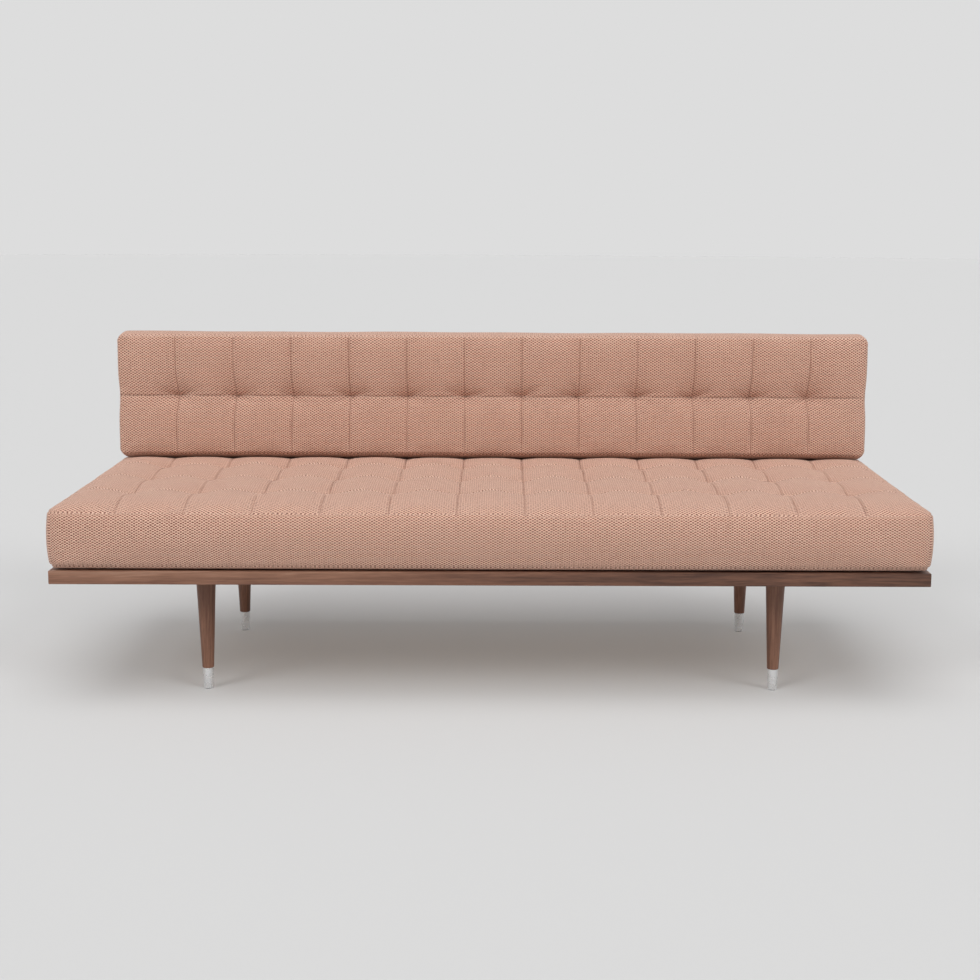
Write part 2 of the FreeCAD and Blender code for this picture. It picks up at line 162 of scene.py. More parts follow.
def woven_fabric():
    """A two-tone hopsack: pale yarn with staggered terracotta crossings, stitched at its seams,
    with a painted highlight along the stitching of the row seams and borders.
    """
    s = Shader("woven_fabric")
    flat = s.node("UVMap", uv_map=WEAVE_MAP).outputs["UV"]
    flat = s.wander(flat, 90.0, 1.0, YARN_WANDER)
    apart = s.node("SeparateXYZ", {"Vector": flat}).outputs
    across = s.math("SINE", s.math("MULTIPLY", apart[0], math.pi / WEAVE_CELL[0]))
    along = s.math("SINE", s.math("MULTIPLY", apart[1], math.pi / WEAVE_CELL[1]))
    check = s.math("MULTIPLY", across, along)

    twist = s.math("ADD", apart[0], s.math("MULTIPLY", apart[1], 0.55))
    strands = s.math("SINE", s.math("MULTIPLY", twist, 2 * math.pi / STRAND_PITCH))
    fibre = s.noise(s.scaled(flat, (900, 900, 1)), 1.0, 3.0, 0.6)
    slub = s.noise(s.scaled(flat, (55, 160, 1)), 1.0, 2.0)
    cloud = s.noise(flat, 7.0, 3.0)

    pale = s.mix(s.step(fibre, 0.3, 0.75), *PALE_YARN)
    dark = s.mix(s.step(slub, 0.3, 0.7), *DARK_YARN)
    darkness = s.step(check, 0.12, -0.5)
    colour = s.mix(darkness, pale, dark)
    colour = s.mix(s.step(cloud, 0.25, 0.8, 0.0, 0.12), colour, CLOUDED)
    streak = s.noise(s.scaled(flat, (230, 14, 1)), 1.0, 2.0)
    colour = s.mix(s.step(streak, 0.56, 0.74, 0.0, 0.20), colour, STREAKED)

    sewn = s.node("SeparateXYZ", {"Vector": s.node("UVMap", uv_map=SEAM_MAP).outputs["UV"]}).outputs
    # stitching at the row seams and borders, painted as pale and dark dots: the pale ones are a
    # painted highlight on the seam's crest
    beat = s.math("MULTIPLY", s.math("ADD", apart[0], apart[1]), 2 * math.pi / STITCH_PITCH)
    stitch_and_highlight = s.mix(s.step(s.math("SINE", beat), -0.4, 0.2), *STITCHES_AND_HIGHLIGHT)
    colour = s.mix(s.step(sewn[1], 1.0, 0.6, 0.0, 0.7), colour, stitch_and_highlight)
    colour = s.mix(s.step(sewn[0], 1.6 * MM, 0.4 * MM, 0.0, 0.5), colour, SEAM_SHADE)

    height = s.math("POWER", s.math("ABSOLUTE", check), 0.6)
    height = s.math("MULTIPLY", height, s.step(darkness, 0.0, 1.0, 1.0, 0.72))
    height = s.math("ADD", height, s.math("MULTIPLY", strands, 0.05))
    height = s.math("ADD", height, s.math("MULTIPLY", fibre, 0.25))
    s.set(Base_Color=colour, Roughness=0.92, Specular_IOR_Level=0.22)
    s.set(Sheen_Weight=0.25, Sheen_Roughness=0.55, Sheen_Tint=srgb("ffe6da"))
    s.set(Normal=s.bump(height, 0.9 * MM, 0.75))
    return s.material


RING_SCALE = 26.0
GRAIN_STRETCH = 0.045  # how much slower the figure changes along the grain than across it
PORE_STRETCH = 0.02
GRAIN_WANDER = (0.09, 0.09, 0.09)
HALF_RAIL = 0.9  # metres from the middle over which a rail's painted reflection fades from pale to dark


def wood(name, tones, axis, roughness=0.42, painted_reflection=0.0):
    """Wood with its grain along axis 0, 1 or 2: rings, streaks and open pores.

    painted_reflection is how much paler its low end is than its high end: a painted reflection of a
    light off to that side.
    """
    s = Shader(name)
    stretch = [1.0, 1.0, 1.0]
    stretch[axis] = GRAIN_STRETCH
    place = s.place()
    grain = s.scaled(place, stretch, (0.31, 0.17, 0.23))
    grain = s.wander(grain, 5.0, 2.0, GRAIN_WANDER)
    rings = s.noise(grain, RING_SCALE, 5.0, 0.62, 0.25)
    streaks = s.noise(grain, RING_SCALE * 9, 3.0, 0.6)
    fine = [1.0, 1.0, 1.0]
    fine[axis] = PORE_STRETCH
    pores = s.noise(s.scaled(place, fine), 900.0, 1.0)
    pore = s.step(pores, 0.62, 0.72)
    tone = s.math("ADD", s.math("MULTIPLY", rings, 0.6), s.math("MULTIPLY", streaks, 0.4))
    # painted reflection: the low end along the grain is painted paler and the high end darker,
    # where a light's reflection would fall
    if painted_reflection:
        along = s.node("SeparateXYZ", {"Vector": place}).outputs[axis]
        tone = s.math("ADD", tone, s.step(along, HALF_RAIL, -HALF_RAIL, -painted_reflection, painted_reflection))
    colour = s.ramp(tone, [(0.30, tones[0]), (0.48, tones[1]), (0.62, tones[2]), (0.74, tones[3])])
    colour = s.mix(s.math("MULTIPLY", pore, 0.45), colour, tones[0])
    s.set(Base_Color=colour, Specular_IOR_Level=0.4)
    s.set(Roughness=s.step(streaks, 0.2, 0.8, roughness - 0.05, roughness + 0.12))
    relief = s.math("SUBTRACT", s.math("MULTIPLY", streaks, 0.5), pore)
    s.set(Normal=s.bump(relief, 0.12 * MM, 0.6))
    return s.material


BRUSH_SQUEEZE = (40.0, 40.0, 2600.0)
BRUSH_SHADE = 0.12  # how much darker the brush lines are than the metal


def brushed_metal(name, colour, roughness):
    """Metal brushed round an upright axis, so that its fine lines lie level."""
    s = Shader(name)
    lines = s.noise(s.scaled(s.place(), BRUSH_SQUEEZE), 1.0, 3.0, 0.6)
    blotch = s.noise(s.place(), 60.0, 2.0)
    darker = tuple(c * (1 - BRUSH_SHADE) for c in colour[:3]) + (1.0,)
    s.set(Base_Color=s.mix(s.step(lines, 0.3, 0.7), darker, colour), Metallic=1.0)
    s.set(Roughness=s.step(blotch, 0.3, 0.7, roughness - 0.04, roughness + 0.06))
    s.set(Normal=s.bump(lines, 0.05 * MM, 0.5))
    return s.material


def powder_coat():
    """Black powder coat with a fine orange-peel skin."""
    s = Shader("powder_coat")
    peel = s.noise(s.place(), 900.0, 2.0)
    worn = s.noise(s.place(), 45.0, 3.0)
    s.set(Base_Color=s.mix(s.step(worn, 0.35, 0.75), srgb("17171a"), srgb("242427")))
    s.set(Roughness=s.step(peel, 0.3, 0.7, 0.42, 0.56), Normal=s.bump(peel, 0.06 * MM, 0.6))
    return s.material


def nylon():
    """Moulded nylon, faintly mottled."""
    s = Shader("nylon")
    mottle = s.noise(s.place(), 400.0, 2.0)
    s.set(Base_Color=s.mix(mottle, srgb("1d1d1e"), srgb("303031")))
    s.set(Roughness=s.step(mottle, 0.3, 0.7, 0.45, 0.6), Normal=s.bump(mottle, 0.05 * MM, 0.5))
    return s.material


def plies():
    """Birch plywood: thin layers across its thickness."""
    s = Shader("plywood")
    place = s.place()
    layers = s.noise(s.scaled(place, (2.0, 620.0, 2.0)), 1.0, 1.0)
    figure = s.noise(s.scaled(place, (3.0, 40.0, 60.0)), 1.0, 4.0)
    tone = s.math("ADD", s.math("MULTIPLY", layers, 0.5), s.math("MULTIPLY", figure, 0.5))
    s.set(Base_Color=s.ramp(tone, [(0.3, srgb("9c7a50")), (0.7, srgb("d6b88a"))]), Roughness=0.6)
    s.set(Normal=s.bump(figure, 0.1 * MM, 0.4))
    return s.material


WALNUT = [srgb(c) for c in ("452b20", "714c3a", "8b634e", "a17b66")]
BEECH = [srgb(c) for c in ("a57b56", "bd9468", "caa47a", "d6b48c")]
BIRCH = [srgb(c) for c in ("b8935f", "cdab7a", "d9bb8d", "e4cba2")]

# ------------------------------------------------------------------ tufted cushions


def grid_lines(cells, per_cell, pull):
    """Places from 0 to 1 across equal cells, closer together near the seams between them."""
    t = np.arange(per_cell) / per_cell
    t = t - pull * np.sin(2 * np.pi * t) / (2 * np.pi)
    return np.append((np.arange(cells)[:, None] + t).ravel(), cells) / cells


class Block:
    """A closed box of quads whose grid lines follow the seams.

    Its own axes are u along the daybed, v across the tufted face and w out of that face.
    share holds each vertex's place in the box, from 0 to 1 on each axis.
    """

    def __init__(self, lines):
        nu, nv, nw = (len(line) - 1 for line in lines)
        number = np.full((nu + 1, nv + 1, nw + 1), -1)
        shell = np.ones_like(number, bool)
        shell[1:-1, 1:-1, 1:-1] = False
        number[shell] = np.arange(shell.sum())
        self.at = np.argwhere(shell)
        self.share = np.stack([lines[k][self.at[:, k]] for k in range(3)], 1)
        self.tufted = self.at[:, 2] == nw
        faces, side = [], []
        for axis in range(3):
            for end in (0, 1):
                layer = np.take(number, -end, axis)
                quad = [layer[:-1, :-1], layer[1:, :-1], layer[1:, 1:], layer[:-1, 1:]]
                quad = np.stack(quad, -1).reshape(-1, 4)
                outward = (end == 1) != (axis == 1)
                faces.append(quad if outward else quad[:, ::-1])
                side += [(axis, end)] * len(quad)
        self.faces, self.side = np.concatenate(faces), np.array(side)

    def mesh(self, name, points, size, tufting, seed):
        """The mesh, with UV maps for the weave and the seams.

        The weave's map is in metres along the threads, and each sewn square has its own start.
        """
        made = bpy.data.meshes.new(name)
        made.from_pydata(points.tolist(), [], self.faces.tolist())
        flat = self.share * size
        uv = np.zeros((*self.faces.shape, 2))
        for axis, (a, b) in enumerate(((1, 2), (0, 2), (0, 1))):
            chosen = self.side[:, 0] == axis
            uv[chosen, :, 0] = flat[self.faces[chosen], a]
            uv[chosen, :, 1] = flat[self.faces[chosen], b]
        rng = np.random.default_rng(seed)
        starts = rng.uniform(0, 1, (tufting.columns, tufting.rows, 2)) * WEAVE_CELL
        face = (self.side == (2, 1)).all(1)
        middle = self.share[self.faces[face]].mean(1)
        column = (middle[:, 0] * tufting.columns).astype(int)
        row = (middle[:, 1] * tufting.rows).astype(int)
        uv[face] += starts[column, row][:, None, :]
        layer = made.uv_layers.new(name=WEAVE_MAP)
        layer.data.foreach_set("uv", uv.reshape(-1).astype(np.float32))
        layer = made.uv_layers.new(name=SEAM_MAP)
        far = self.from_seams(size, tufting)[self.faces]
        far[~face, :, 0] = NO_SEAM
        layer.data.foreach_set("uv", far.reshape(-1).astype(np.float32))
        made.shade_smooth()
        return made

    def from_seams(self, size, tufting):
        """Each vertex's distance to a column seam in metres, and to another seam in lips."""
        u, v, w = self.share.T
        column, row = (np.abs(d) for d in tufting.seam_distance(u, v, size))
        inside_u, inside_v = tufting.inner(u, v)
        column = np.where(self.tufted & inside_u, column, NO_SEAM)
        row = np.where(self.tufted & inside_v, row, NO_SEAM)
        side = (u == 0) | (u == 1) | (v == 0) | (v == 1)
        rim = np.minimum(np.minimum(u, 1 - u) * size[0], np.minimum(v, 1 - v) * size[1])
        rim = np.where(side, np.minimum(w, 1 - w) * size[2], rim)
        return np.stack([column, np.minimum(row / tufting.lips[0], rim / tufting.lips[1])], 1)


def rounded(share, size, low_radius, high_radius):
    """The box's points with its edges rounded, by one radius at w = 0 and another at w = 1."""
    p = share * size
    radius = low_radius + (high_radius - low_radius) * share[:, 2:] ** 2
    inner = np.clip(p, radius, size - radius)
    out = p - inner
    reach = np.linalg.norm(out, axis=1, keepdims=True)
    return inner + out * (radius / np.maximum(reach, 1e-9))


def rounded_plan(points, size, radius):
    """Rounds the four corners seen along w, bending the grid smoothly."""
    p = points.copy()
    half = size / 2
    u = np.clip((np.abs(p[:, 0] - half[0]) - (half[0] - radius)) / radius, 0, 1)
    v = np.clip((np.abs(p[:, 1] - half[1]) - (half[1] - radius)) / radius, 0, 1)
    squeezed_u = u * np.sqrt(1 - v * v / 2)
    squeezed_v = v * np.sqrt(1 - u * u / 2)
    p[:, 0] += np.sign(p[:, 0] - half[0]) * (squeezed_u - u) * radius
    p[:, 1] += np.sign(p[:, 1] - half[1]) * (squeezed_v - v) * radius
    return p


CLOTH_FRAMES = 16
CLOTH_PRESSURE = 1.2
CLOTH_SLACK = 0.002


def settle(block, points, pins, taut, cap):
    """Inflates the padded sides as cloth held at its pins, and returns the points it comes to.

    The side at w = 0 rests on something flat, so it stays out and its edge is held. Fabric that
    is not taut has a little slack. No point moves further than cap.
    """
    faces = block.faces[(block.side != (2, 0)).any(1)]
    used, faces = np.unique(faces, return_inverse=True)
    start = points[used]
    mesh = bpy.data.meshes.new("cloth")
    mesh.from_pydata(start.tolist(), [], faces.reshape(-1, 4).tolist())
    piece = bpy.data.objects.new("cloth", mesh)
    bpy.context.scene.collection.objects.link(piece)
    held = np.where(block.at[:, 2] == 0, 1.0, pins)[used]
    for name, weights in (("pins", held), ("taut", taut[used])):
        group = piece.vertex_groups.new(name=name)
        for weight in np.unique(weights[weights > 0]):
            group.add(np.flatnonzero(weights == weight).tolist(), float(weight), "REPLACE")
    s = piece.modifiers.new("cloth", "CLOTH").settings
    s.quality = 4
    s.mass = 0.3
    s.tension_stiffness = s.compression_stiffness = 25
    s.shear_stiffness = 8
    s.bending_stiffness = 0.3
    s.use_pressure = True
    s.uniform_pressure_force = CLOTH_PRESSURE
    s.vertex_group_mass = "pins"
    s.vertex_group_shrink = "taut"
    s.shrink_min = -CLOTH_SLACK
    s.shrink_max = 0.0
    s.effector_weights.gravity = 0.0
    piece.modifiers["cloth"].collision_settings.use_collision = False
    piece.modifiers["cloth"].point_cache.frame_end = CLOTH_FRAMES
    for number in range(1, CLOTH_FRAMES + 1):
        bpy.context.scene.frame_set(number)
    shaped = piece.evaluated_get(bpy.context.evaluated_depsgraph_get()).to_mesh()
    after = np.zeros(start.size, np.float32)
    shaped.vertices.foreach_get("co", after)
    bpy.context.scene.frame_set(1)
    bpy.data.objects.remove(piece)
    move = after.reshape(-1, 3) - start
    length = np.linalg.norm(move, axis=1, keepdims=True)
    settled = points.copy()
    settled[used] += move * np.minimum(1, cap / np.maximum(length, 1e-9))
    return settled


def reach_along(node, axes):
    """Lowest and highest reach of a CAD node along three unit axes, in metres."""
    points = np.array([v.co for v in frame["nodes"][node].data.vertices]) @ axes.T
    return points.min(0), points.max(0)


def bell(distance, width):
    """1 at the middle, falling smoothly to nothing a few widths away."""
    return np.exp(-((distance / width) ** 2))


SWELL = 0.62  # power of the arch between two seams: the smaller, the fuller the square
BORDER_SWELL = 1.2
UNEVEN = (0.88, 1.12)


class Tufting:
    """How a face is tufted: its squares, and how high the fabric stands above the tufts."""

    def __init__(self, columns, rows, along, across, crown, border, depth, lips, seed):
        self.columns, self.rows = columns, rows
        self.along = along  # the middle of a seam between two tufts of one row
        self.across = across  # the middle of a seam between two tufts of one column, at v = 0 and 1
        self.crown = crown  # the middle of a square, at v = 0 and 1
        self.border = border  # the face's edge, at v = 0 and 1
        self.depth = depth  # how far the tufts are below the CAD face
        self.lips = lips  # how wide the stitching and its painted highlight are at a row seam, and at the border
        rng = np.random.default_rng(seed)
        self.uneven = rng.uniform(*UNEVEN, (3, columns + 1, rows + 1))

    def height(self, u, v):
        """Height above the tufts at a share u, v of the face; it rises gently from the border."""
        s, t = u * self.columns, v * self.rows
        arch_s, arch_t = np.abs(np.sin(np.pi * s)), np.abs(np.sin(np.pi * t))
        from_end, from_side = np.minimum(s, self.columns - s), np.minimum(t, self.rows - t)
        a = arch_s ** np.where(from_end < 0.5, BORDER_SWELL, SWELL)
        b = arch_t ** np.where(from_side < 0.5, BORDER_SWELL, SWELL)
        end = np.clip(1 - 2 * from_end, 0, 1) ** 2
        side = np.clip(1 - 2 * from_side, 0, 1) ** 2
        near_s, near_t = np.round(s).astype(int), np.round(t).astype(int)
        cell_s = np.minimum(s.astype(int), self.columns - 1)
        cell_t = np.minimum(t.astype(int), self.rows - 1)
        across = np.interp(v, (0, 1), self.across) * arch_t * (1 - a) * (1 - end)
        across *= self.uneven[0, near_s, cell_t]
        along = self.along * arch_s * (1 - b) * (1 - side) * self.uneven[1, cell_s, near_t]
        puff = np.interp(v, (0, 1), self.crown) * a * b * self.uneven[2, cell_s, cell_t]
        return across + along + puff + self.rim(v) * np.maximum(end, side)

    def rim(self, v):
        """Height of the face's edge above the tufts."""
        return np.interp(v, (0, 1), self.border)

    def seam_distance(self, u, v, size):
        """Signed distance to the nearest seam across u and across v, in metres."""
        s, t = u * self.columns, v * self.rows
        pitch = size[:2] / (self.columns, self.rows)
        return (s - np.round(s)) * pitch[0], (t - np.round(t)) * pitch[1]

    def inner(self, u, v):
        """Which points have an inside column seam, or row seam, nearer than the face's edge."""
        s, t = np.round(u * self.columns), np.round(v * self.rows)
        return (s % self.columns > 0), (t % self.rows > 0)


LAP_REACH = 12 * MM
SEAM_END = 5 * MM  # over this far from the face's edge its seams grow to their full depth


def seamed(block, points, size, tufting, sinks, pinch, reach, lap, groove):
    """Draws the fabric down into its seams as sharp lines.

    sinks are for the column and row seams. At a row seam the fabric above is folded over the
    fabric below, and stands out from it by lap. groove is for the seams round both faces.
    """
    p = points.copy()
    u, v, w = block.share.T
    near = tufting.seam_distance(u, v, size)
    inside = tufting.inner(u, v)
    drop = np.zeros(len(p))
    for axis in (0, 1):
        gap = np.abs(near[axis])
        on = block.tufted & inside[axis]
        draw = pinch * gap / reach * np.exp(1 - gap / reach)
        p[:, axis] -= np.where(on, np.sign(near[axis]) * draw, 0)
        drop = np.maximum(drop, np.where(on, sinks[axis] * bell(gap, reach / 2), 0))
    below = np.where(near[1] <= 0, np.exp(near[1] / LAP_REACH), 0)
    below *= np.sin(np.pi * u * tufting.columns) ** 2
    drop += np.where(block.tufted & inside[1], lap * below, 0)
    edge = np.minimum(np.minimum(u, 1 - u) * size[0], np.minimum(v, 1 - v) * size[1])
    p[:, 2] -= drop * np.clip(edge / SEAM_END, 0.35, 1)
    inward = np.stack([(end == 0) * 1.0 - (end == 1) for end in (u, v, w)], 1)
    sides = np.linalg.norm(inward, axis=1)
    rim = (w % 1 == 0) & (sides > 1)
    p[rim] += groove * (inward / np.maximum(sides, 1)[:, None])[rim]
    return p


def start_shape(block, size, tufting, low_radius, high_radius, corner):
    """The cushion before it is filled: rounded edges, and the tufted face with its seams."""
    p = rounded_plan(rounded(block.share, size, low_radius, high_radius), size, corner)
    u, v, w = block.share.T
    face = tufting.height(u, v) - tufting.depth
    p[:, 2] += np.where(block.tufted, face, (tufting.rim(v) - tufting.depth) * w)
    return p


def held_points(block, size, tufting):
    """Weights for the cloth: its pins, and where it is sewn taut."""
    u, v, _ = block.share.T
    across, along = (np.abs(d) < 1e-6 for d in tufting.seam_distance(u, v, size))
    inside_u, inside_v = tufting.inner(u, v)
    tuft = block.tufted & across & along & inside_u & inside_v
    rim = block.tufted & ((u == 0) | (u == 1) | (v == 0) | (v == 1))
    pins = np.where(tuft, 1.0, np.where(rim, 0.5, 0.0))
    taut = np.where(block.tufted & ~across & ~along, 0.0, 1.0)
    return pins, taut


def piece_from(mesh, body, material):
    made = bpy.data.objects.new(mesh.name, mesh)
    bpy.context.scene.collection.objects.link(made)
    mesh.materials.append(material)
    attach(made, body)
    return made


SEAT_FOLDS = [(angle, 0.8) for angle in (20, 65, 115, 160, 200, 245, 295, 340)]
BACK_FOLDS = [(20, 1.3), (160, 1.3), (-30, 0.9), (-150, 0.9)]
BACK_FOLDS += [(angle, 0.4) for angle in (60, 120, -70, -110)]
FOLD_TURN = 0.2  # how far a fold may turn from its aim, in radians
FOLD_START = 9 * MM


def gathered(block, points, size, tufting, folds, depth, length, dimple, seed):
    """Short folds that run out from every tuft, and the dimple in their middle.

    Each fold has an angle in degrees and a strength. dimple is its depth, and its reach on u and v.
    """
    p = points.copy()
    u, v, _ = block.share.T
    across, along = tufting.seam_distance(u, v, size)
    inside_u, inside_v = tufting.inner(u, v)
    column = np.round(u * tufting.columns).astype(int)
    row = np.round(v * tufting.rows).astype(int)
    far = np.hypot(across, along)
    angle = np.arctan2(along, across)
    rng = np.random.default_rng(seed)
    shape = (len(folds), tufting.columns + 1, tufting.rows + 1)
    turn = rng.uniform(-FOLD_TURN, FOLD_TURN, shape)
    deep = rng.uniform(0.3, 1.0, shape)
    total = np.zeros(len(p))
    for fold, (aim, strength) in enumerate(folds):
        off = angle - math.radians(aim) - turn[fold, column, row]
        off = np.abs(np.angle(np.exp(1j * off)))
        wide = 3 * MM + 0.13 * far
        total += strength * deep[fold, column, row] * bell(off * far, wide) * (off < 1)
    fade = np.clip(far / FOLD_START, 0, 1) * np.exp(-((far / length) ** 2))
    pulled = dimple[0] * np.exp(-np.hypot(across / dimple[1], along / dimple[2]))
    on = block.tufted & inside_u & inside_v
    p[:, 2] -= np.where(on, depth * fade * total + pulled, 0)
    return p


SEAT_TUFTS = Tufting(
    columns=13, rows=4, along=15 * MM, across=(13.5 * MM, 8 * MM), crown=(11.5 * MM, 20.2 * MM),
    border=(-6 * MM, 4 * MM), depth=8 * MM, lips=(5 * MM, 1.2 * MM), seed=3,
)
BACK_TUFTS = Tufting(
    columns=13, rows=2, along=13 * MM, across=(11 * MM, 11 * MM), crown=(19 * MM, 19 * MM),
    border=(14 * MM, 14 * MM), depth=17 * MM, lips=(1.5 * MM, 2.2 * MM), seed=8,
)


def boxing_bulge(block, amount):
    """How far the four plain sides stand out, most at mid-height, as a move along u and v."""
    u, v, w = block.share.T
    out = amount * np.sin(np.pi * w) ** 0.8
    move = np.zeros((len(u), 3))
    move[:, 0] = out * np.where(u == 1, 1, np.where(u == 0, -1, 0))
    move[:, 1] = out * np.where(v == 1, 1, np.where(v == 0, -1, 0))
    return move


def back_axes():
    """Unit axes of the back cushion: along, up its lean, and out of its front face."""
    up = next(j for j in frame["joints"] if j["name"] == "back_cushion_lift")["axis"]
    up = np.array(up) / np.linalg.norm(up)
    along = np.array((1.0, 0.0, 0.0))
    return np.stack([along, up, np.cross(along, up)])


def under_back(points):
    """The seat's points, pressed down softly where the back cushion stands on it.

    They stay depth below the CAD underside of the back. From edge behind its front face they may
    stand higher, by rise at the face itself.
    """
    axes = back_axes()
    low, high = reach_along("back_cover", axes)
    depth, rise, edge, soft = 6.4 * MM, 10.4 * MM, 16 * MM, 1.5 * MM
    ahead = np.clip((points @ axes[2] - high[2]) / edge + 1, 0, 5)
    over = points @ axes[1] - (low[1] - depth + rise * ahead**2)
    return points - np.logaddexp(0, over / soft)[:, None] * soft * axes[1]


def cushion_block(tufting, per_row):
    """A block for the tufting, with this many lines to each row."""
    across = grid_lines(tufting.rows, per_row, 0.6)
    return Block([grid_lines(tufting.columns, 18, 0.55), across, grid_lines(1, 14, 0.4)])


def raised_edge(block, size, rise, reach):
    """How far the underside rises towards its edge, over this reach from it."""
    u, v, w = block.share.T
    edge = np.minimum(np.minimum(u, 1 - u) * size[0], np.minimum(v, 1 - v) * size[1])
    return rise * np.clip(1 - edge / reach, 0, 1) ** 1.5 * (1 - w) ** 3


def seat_cushion(material):
    low, high = (np.array(corner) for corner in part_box("seat_cover"))
    outward, rear_inward = 1.5 * MM, 7 * MM
    low[:2] -= outward
    high[:2] += (outward, -rear_inward)
    size = high - low
    block = cushion_block(SEAT_TUFTS, per_row=22)
    radii = {"low_radius": 15 * MM, "high_radius": 5 * MM, "corner": 26 * MM}
    points = start_shape(block, size, SEAT_TUFTS, **radii)
    points += boxing_bulge(block, amount=5 * MM)
    points[:, 2] += raised_edge(block, size, rise=5.5 * MM, reach=45 * MM)
    pins, taut = held_points(block, size, SEAT_TUFTS)
    points = settle(block, points, pins, taut, cap=12 * MM)
    points = gathered(
        block, points, size, SEAT_TUFTS, SEAT_FOLDS, depth=1.5 * MM, length=45 * MM,
        dimple=(2.5 * MM, 16 * MM, 20 * MM), seed=11,
    )
    points = seamed(
        block, points, size, SEAT_TUFTS, sinks=(2.6 * MM, 1.4 * MM), pinch=1.9 * MM,
        reach=3.7 * MM, lap=3.2 * MM, groove=1.3 * MM,
    )
    points = under_back(points + low) - low
    mesh = block.mesh("seat_cushion_fabric", points + low, size, SEAT_TUFTS, seed=5)
    made = piece_from(mesh, "seat_cushion", material)
    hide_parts("seat_cover", "seat_foam", "seat_tuft_ties")


def back_outline(block, points):
    """The back cushion's points with the outline of a filled one.

    Its ends narrow towards the seat and are drawn in at the row seam, its top is crowned and a
    little wavy, its underside sags, and its lower front edge is lifted off the seat.
    """
    widest, narrowing, waist = 1 * MM, 4 * MM, 7 * MM
    crown, ripple, sag, lift = 11 * MM, 0.5 * MM, 10.5 * MM, 9.5 * MM
    p = points.copy()
    u, v, w = block.share.T
    sideways = 2 * u - 1
    level = bell(v - 0.5, 0.13) * (1 - 0.5 * sideways**8)
    p[:, 0] += (widest + narrowing * (v - 1) - waist * level * w * w) * sideways
    wavy = crown + ripple * (np.sin(17 * u + 1) + np.sin(39 * u))
    p[:, 1] += np.where(v == 1, wavy * np.sin(np.pi * w), 0)
    full = np.sqrt(w) * (1 - w**3)
    lift = lift * (1 - 0.4 * sideways**8)
    p[:, 1] += np.where(v == 0, -sag * full, 0) + lift * (w * (1 - v)) ** 4
    return p


def back_cushion(material):
    axes = back_axes()
    low, high = reach_along("back_cover", axes)
    top_inward = 3.4 * MM
    high[1] -= top_inward
    size = high - low
    block = cushion_block(BACK_TUFTS, per_row=20)
    radii = {"low_radius": 12 * MM, "high_radius": 4 * MM, "corner": 17 * MM}
    points = back_outline(block, start_shape(block, size, BACK_TUFTS, **radii))
    pins, taut = held_points(block, size, BACK_TUFTS)
    v = block.share[:, 1]
    pins[v == 0] = 1.0
    pins[v == 1] = np.maximum(pins[v == 1], 0.5)
    points = settle(block, points, pins, taut, cap=14 * MM)
    points = gathered(
        block, points, size, BACK_TUFTS, BACK_FOLDS, depth=8 * MM, length=42 * MM,
        dimple=(13 * MM, 25 * MM, 14 * MM), seed=12,
    )
    points = seamed(
        block, points, size, BACK_TUFTS, sinks=(1.0 * MM, 0.7 * MM), pinch=1.1 * MM,
        reach=3.2 * MM, lap=1.4 * MM, groove=1.6 * MM,
    )
    mesh = block.mesh("back_cushion_fabric", (points + low) @ axes, size, BACK_TUFTS, seed=6)
    made = piece_from(mesh, "back_cushion", material)
    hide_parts("back_cover", "back_foam", "back_panel", "back_tuft_ties")


# ------------------------------------------------------------------ the scene

def dress():
    """Gives the CAD nodes their materials, by the start of their names."""
    length_wise = wood("walnut_along", WALNUT, 0, painted_reflection=0.10)
    cross_wise = wood("walnut_across", WALNUT, 1)
    upright = wood("walnut_upright", WALNUT, 2)
    beech_along = wood("beech_along", BEECH, 0, 0.55)
    beech_across = wood("beech_across", BEECH, 1, 0.55)
    birch = wood("birch_across", BIRCH, 1, 0.55)
    ferrule = brushed_metal("brushed_aluminium", srgb("f6f7f8"), 0.28)
    zinc = brushed_metal("zinc_plate", srgb("c3c6c8"), 0.34)
    steel = powder_coat()
    looks = [
        ("rail_front", length_wise), ("rail_rear", length_wise),
        ("rail_left", cross_wise), ("rail_right", cross_wise),
        ("leg_plate", zinc), ("leg_", upright), ("ferrule", ferrule), ("glide", nylon()),
        ("cross_beam", beech_across), ("spine", beech_along), ("slat_screws", zinc),
        ("slat_", birch), ("corner_dowels", beech_along), ("beam_dowels", beech_along),
        ("back_bracket", steel), ("bracket_sleeve", steel), ("back_panel", plies()),
        ("bracket_screws", zinc), ("hanger_bolts", zinc), ("sleeve_screws", zinc),
    ]
    for name, piece in frame["nodes"].items():
        for prefix, material in looks:
            if name.startswith(prefix):
                piece.data.materials.clear()
                piece.data.materials.append(material)
                break


CAMERA_RIGHT = 0.02565
CAMERA_AHEAD = 3.48128  # of the front rail
CAMERA_HEIGHT = 1.07337
CAMERA_TURN = [math.radians(a) for a in (0.445, 9.535, 0.291)]  # yaw, pitch and roll
CAMERA_LENS = 59.27
CAMERA_SHIFT = -0.0255


def camera():
    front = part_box("rail_front")[0].y
    made = bpy.data.objects.new("camera", bpy.data.cameras.new("camera"))
    bpy.context.scene.collection.objects.link(made)
    made.location = (CAMERA_RIGHT, front - CAMERA_AHEAD, CAMERA_HEIGHT)
    yaw, pitch, roll = CAMERA_TURN
    turn = Matrix.Rotation(-yaw, 4, "Z") @ Matrix.Rotation(math.pi / 2 - pitch, 4, "X")
    made.rotation_euler = (turn @ Matrix.Rotation(roll, 4, "Z")).to_euler()
    made.data.lens = CAMERA_LENS
    made.data.shift_x = CAMERA_SHIFT
    bpy.context.scene.camera = made


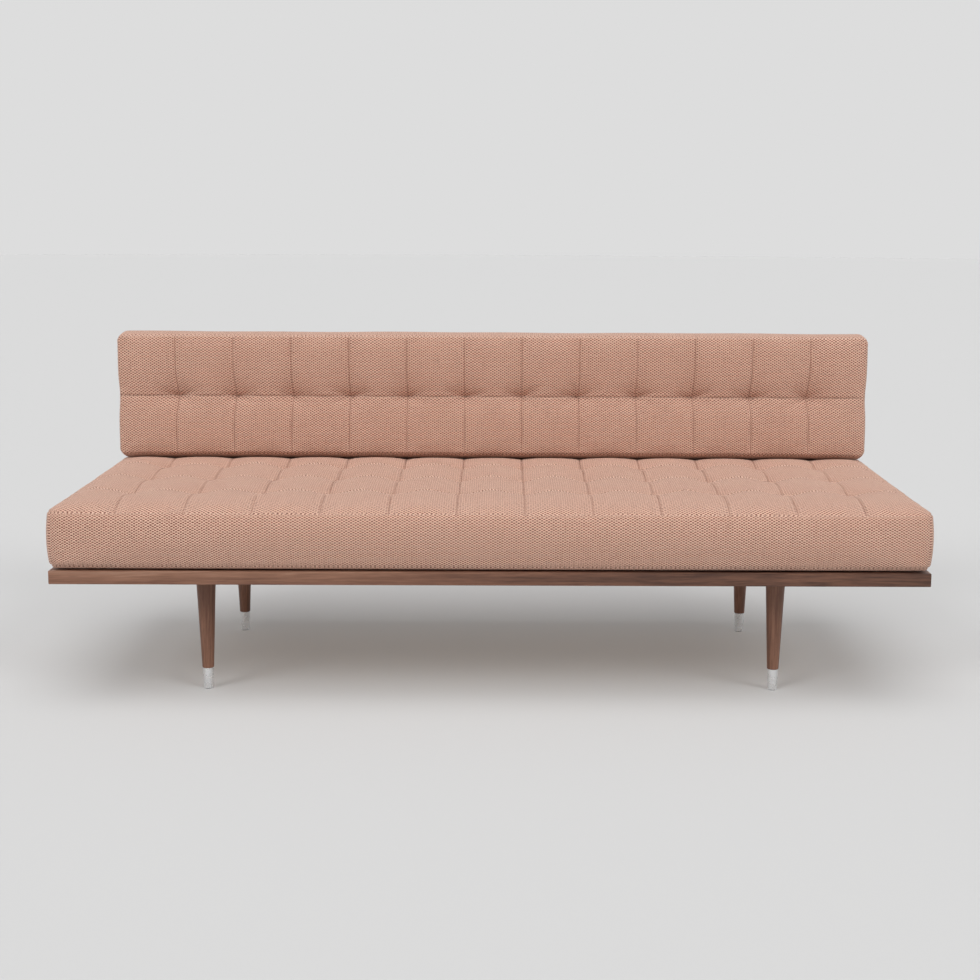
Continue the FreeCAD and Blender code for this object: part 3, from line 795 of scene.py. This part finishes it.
def sun(name, azimuth, elevation, strength, softness):
    """A distant soft light, with its angles in degrees.

    Azimuth 0 is in front of the daybed, and 90 to its right.
    """
    light = bpy.data.lights.new(name, "SUN")
    light.energy = strength
    light.angle = math.radians(softness)
    made = bpy.data.objects.new(name, light)
    bpy.context.scene.collection.objects.link(made)
    a, e = math.radians(azimuth), math.radians(elevation)
    back = Vector((math.sin(a) * math.cos(e), -math.cos(a) * math.cos(e), math.sin(e)))
    made.rotation_euler = back.to_track_quat("Z", "Y").to_euler()


def emitter(name, colour):
    """A material that only glows, with no shading of its own."""
    material = bpy.data.materials.new(name)
    material.use_nodes = True
    tree = material.node_tree
    tree.nodes.clear()
    glow = tree.nodes.new("ShaderNodeEmission")
    glow.inputs["Color"].default_value = colour
    output = tree.nodes.new("ShaderNodeOutputMaterial")
    tree.links.new(glow.outputs[0], output.inputs["Surface"])
    return material


STUDIO_GREY = srgb("dddddd")
FLOOR_ALBEDO = 0.505
FLOOR_GLOW = 0.125
FLOOR_REACH = 60.0
SURROUND_RADIUS = 45.0
SKY_AT_HORIZON = 0.6
SKY_OVERHEAD = 0.3


def sky():
    """Even light from all round, brighter low down, so that it reaches under the platform."""
    world = bpy.data.worlds.new("studio")
    bpy.context.scene.world = world
    world.use_nodes = True
    tree = world.node_tree
    place = tree.nodes.new("ShaderNodeTexCoord")
    apart = tree.nodes.new("ShaderNodeSeparateXYZ")
    height = tree.nodes.new("ShaderNodeMapRange")
    height.inputs["To Min"].default_value = SKY_AT_HORIZON
    height.inputs["To Max"].default_value = SKY_OVERHEAD
    tree.links.new(place.outputs["Generated"], apart.inputs[0])
    tree.links.new(apart.outputs["Z"], height.inputs["Value"])
    tree.links.new(height.outputs[0], tree.nodes["Background"].inputs["Strength"])
    tree.nodes["Background"].inputs["Color"].default_value = (1, 1, 1, 1)


def studio():
    """A pale floor that runs into an even pale surround, under soft light."""
    sky()
    sun("front_left", azimuth=-42, elevation=34, strength=0.9, softness=24)
    sun("front_right", azimuth=48, elevation=34, strength=0.8, softness=24)
    sun("above", azimuth=0, elevation=78, strength=1.45, softness=50)

    mesh = bpy.data.meshes.new("floor")
    signs = ((-1, -1), (1, -1), (1, 1), (-1, 1))
    corners = [(x * FLOOR_REACH, y * FLOOR_REACH, 0) for x, y in signs]
    mesh.from_pydata(corners, [], [(0, 1, 2, 3)])
    floor = bpy.data.objects.new("floor", mesh)
    bpy.context.scene.collection.objects.link(floor)
    s = Shader("floor")
    s.set(Base_Color=(FLOOR_ALBEDO,) * 3 + (1,), Roughness=1.0, Specular_IOR_Level=0.0)
    s.set(Emission_Color=(1, 1, 1, 1), Emission_Strength=FLOOR_GLOW)
    mesh.materials.append(s.material)

    bpy.ops.mesh.primitive_uv_sphere_add(segments=64, ring_count=32, radius=SURROUND_RADIUS)
    surround = bpy.context.object
    surround.name = "surround"
    surround.data.materials.append(emitter("surround", STUDIO_GREY))
    surround.visible_diffuse = False
    surround.visible_shadow = False
    surround.visible_transmission = False


bpy.context.scene.view_settings.view_transform = "Standard"
dress()
fabric = woven_fabric()
seat_cushion(fabric)
back_cushion(fabric)
camera()
studio()
